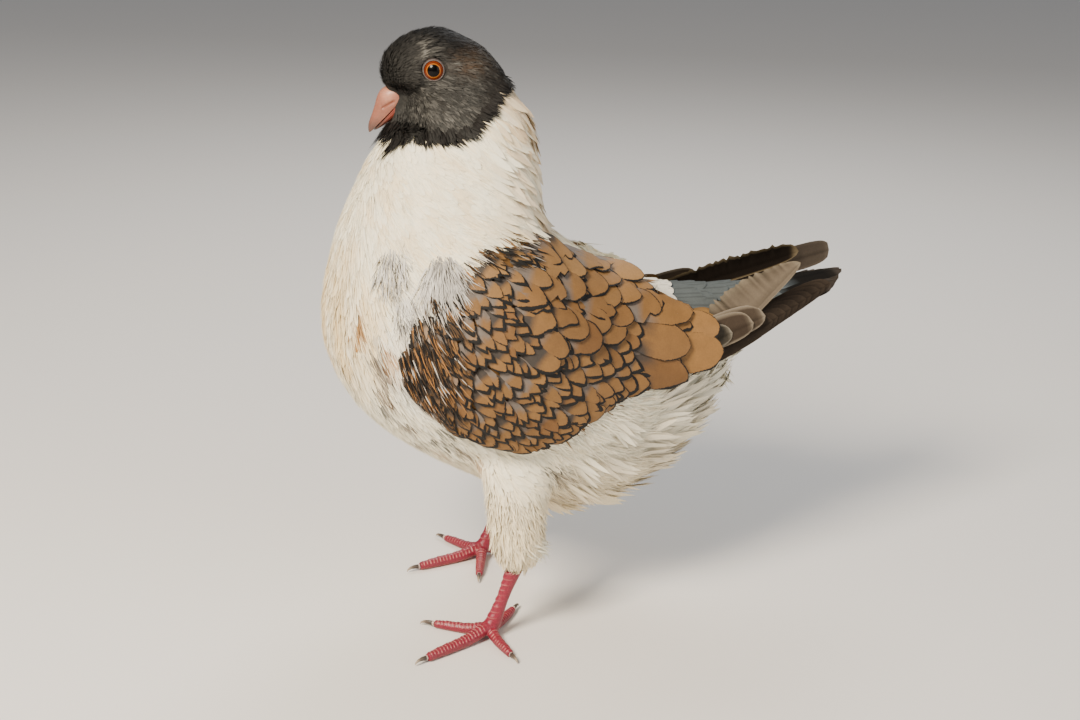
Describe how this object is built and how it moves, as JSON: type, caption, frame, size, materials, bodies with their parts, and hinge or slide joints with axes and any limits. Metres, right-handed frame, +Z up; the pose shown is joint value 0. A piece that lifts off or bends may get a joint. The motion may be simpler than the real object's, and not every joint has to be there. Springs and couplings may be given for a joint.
{
  "type": "modena pigeon",
  "caption": "Standing pigeon with a round body, upright neck, short raised tail, folded wings and feathered thighs, as a still life-size model.",
  "frame": {"origin": "centre of the bounding box at floor level, under the soles", "axes": "+Z up, -Y the way the body faces, +X the bird's left"},
  "size_m": [0.1185, 0.2111, 0.2212],
  "materials": {
    "white_feather": "soft white feather with a cream tinge",
    "head": "charcoal feather",
    "wing": "bronze feather with black lacing",
    "tail": "slate grey feather with a dark end",
    "bill": "flesh pink horn",
    "eye": "wet orange eye with a black pupil",
    "leg": "red scaled skin",
    "claw": "dark horn"
  },
  "bodies": {
    "root": {"bill_lower": "bill", "bill_upper": "bill", "claw_hind_left": "claw", "claw_hind_right": "claw", "claw_inner_left": "claw", "claw_inner_right": "claw", "claw_middle_left": "claw", "claw_middle_right": "claw", "claw_outer_left": "claw", "claw_outer_right": "claw", "eye_left": "eye", "eye_right": "eye", "foot_left": "leg", "foot_right": "leg", "head": "head", "neck": "white_feather", "tail": "tail", "thigh_left": "white_feather", "thigh_right": "white_feather", "torso": "white_feather", "wing_left": "wing", "wing_right": "wing"}
  },
  "joints": []
}
